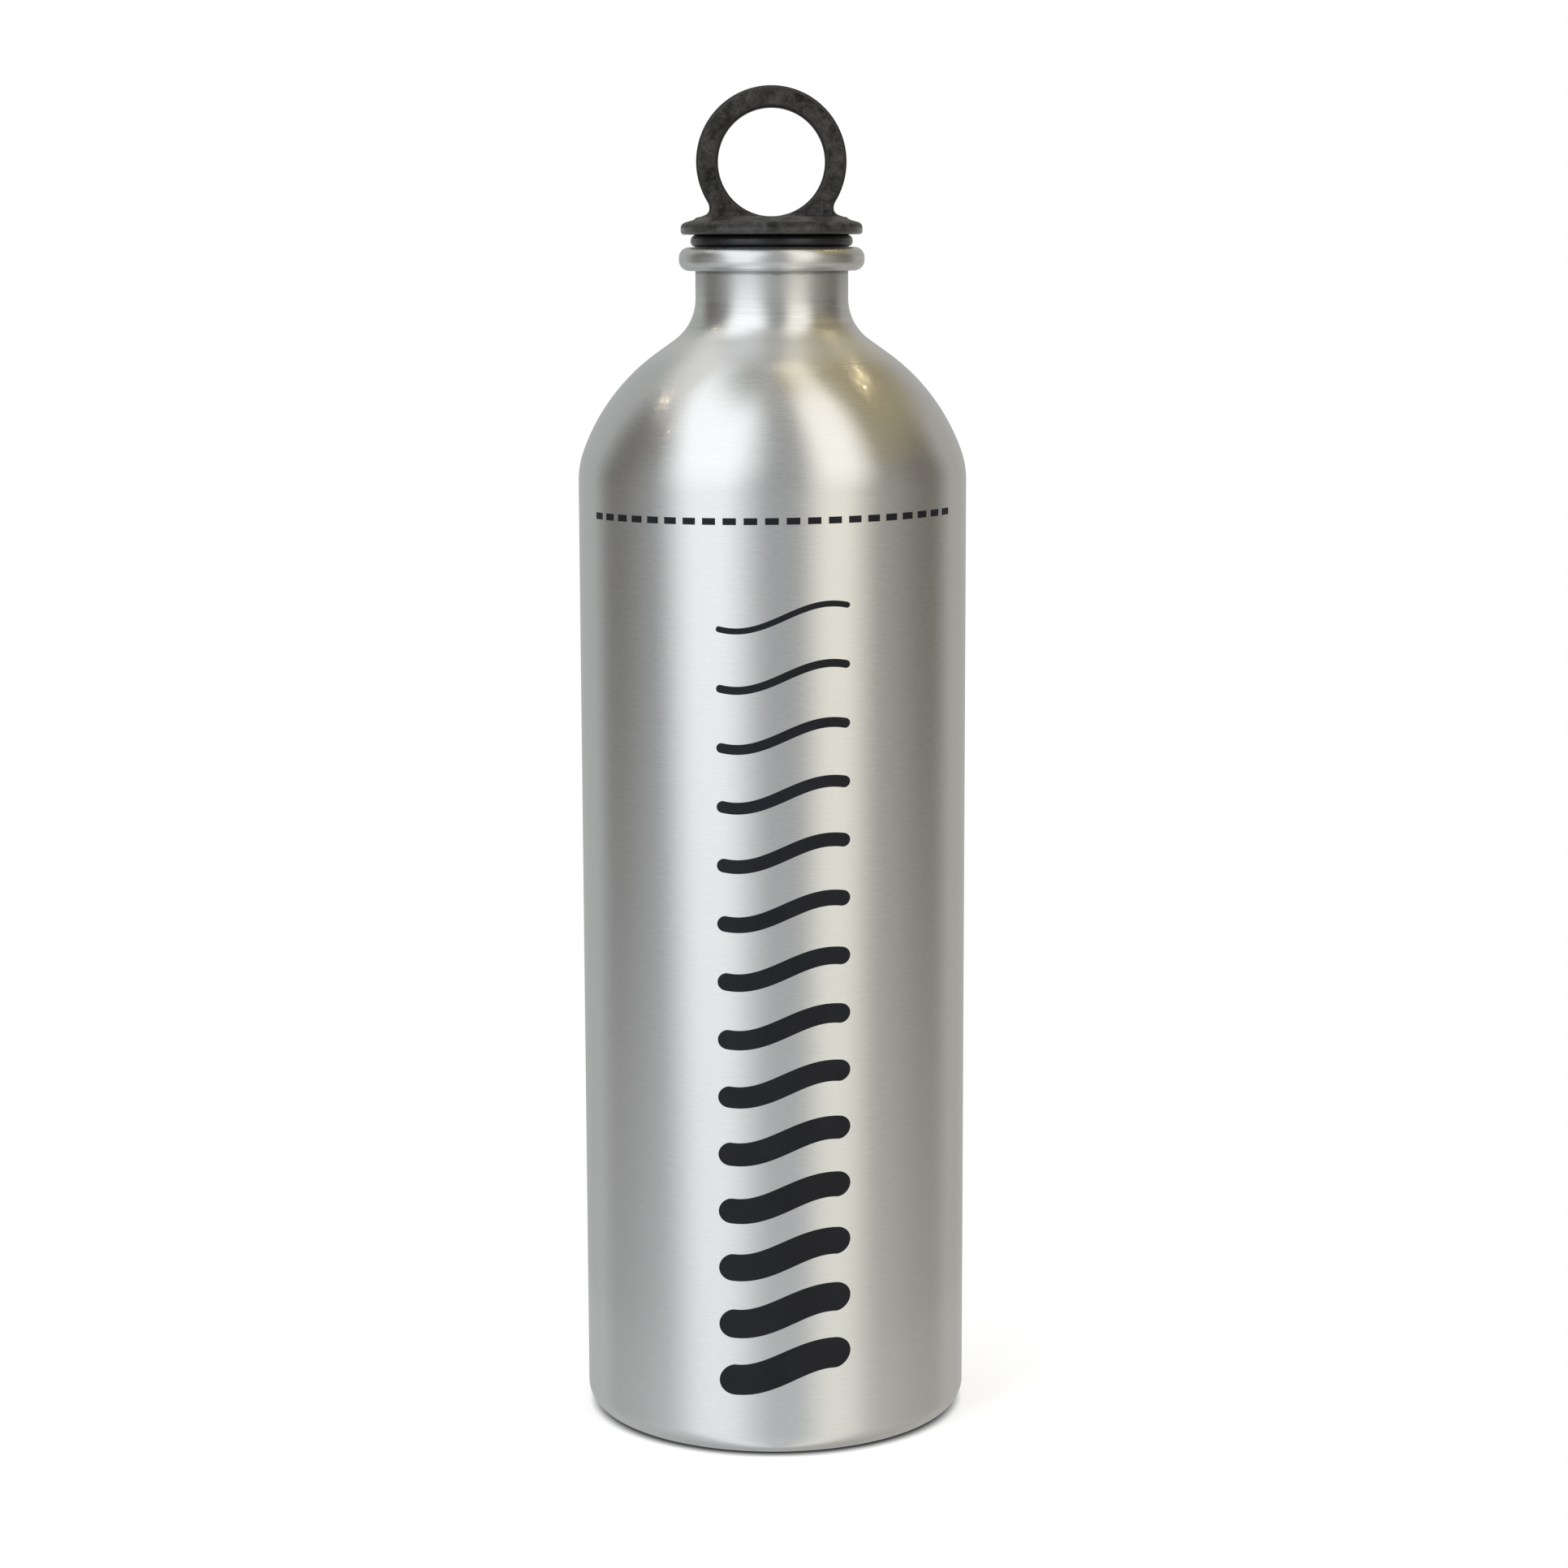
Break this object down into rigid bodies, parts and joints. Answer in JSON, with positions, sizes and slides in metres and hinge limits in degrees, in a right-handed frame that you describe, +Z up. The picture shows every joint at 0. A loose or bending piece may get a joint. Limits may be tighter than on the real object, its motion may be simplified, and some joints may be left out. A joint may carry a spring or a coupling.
{
  "type": "water bottle",
  "caption": "Tall round aluminium drinking bottle with a domed shoulder, narrow rolled-rim neck and a black screw-in plug cap with a carrying loop and a rubber seal.",
  "frame": {"origin": "middle of the foot ring, on the surface that the bottle stands on", "axes": "+Z up along the bottle's axis, -Y towards the viewer of the picture, +X along the plane of the loop"},
  "size_m": [0.08, 0.08, 0.2764],
  "materials": {
    "brushed_aluminium": "brushed round the bottle, satin",
    "sleeve_plastic": "moulded, pale",
    "seal_rubber": "smooth black rubber",
    "cap_plastic": "moulded black, matt and slightly mottled"
  },
  "bodies": {
    "bottle": {"bottle_shell": "brushed_aluminium", "neck_thread_insert": "sleeve_plastic"},
    "seal": {"seal_ring": "seal_rubber"},
    "cap": {"screw_cap": "cap_plastic", "plug_disc": "cap_plastic"}
  },
  "joints": [
    {"name": "cap_lift", "type": "slide", "parent": "bottle", "child": "seal", "axis": [0, 0, 1], "range_m": [0, 0.01667]},
    {"name": "cap_turn", "type": "hinge", "parent": "seal", "child": "cap", "pos_m": [0, 0, 0.244], "axis": [0, 0, 1], "range_deg": [0, 1200]}
  ],
  "couplings": [
    {"joint": "cap_lift", "follows": "cap_turn", "m_per_rad": 0.00079577}
  ]
}
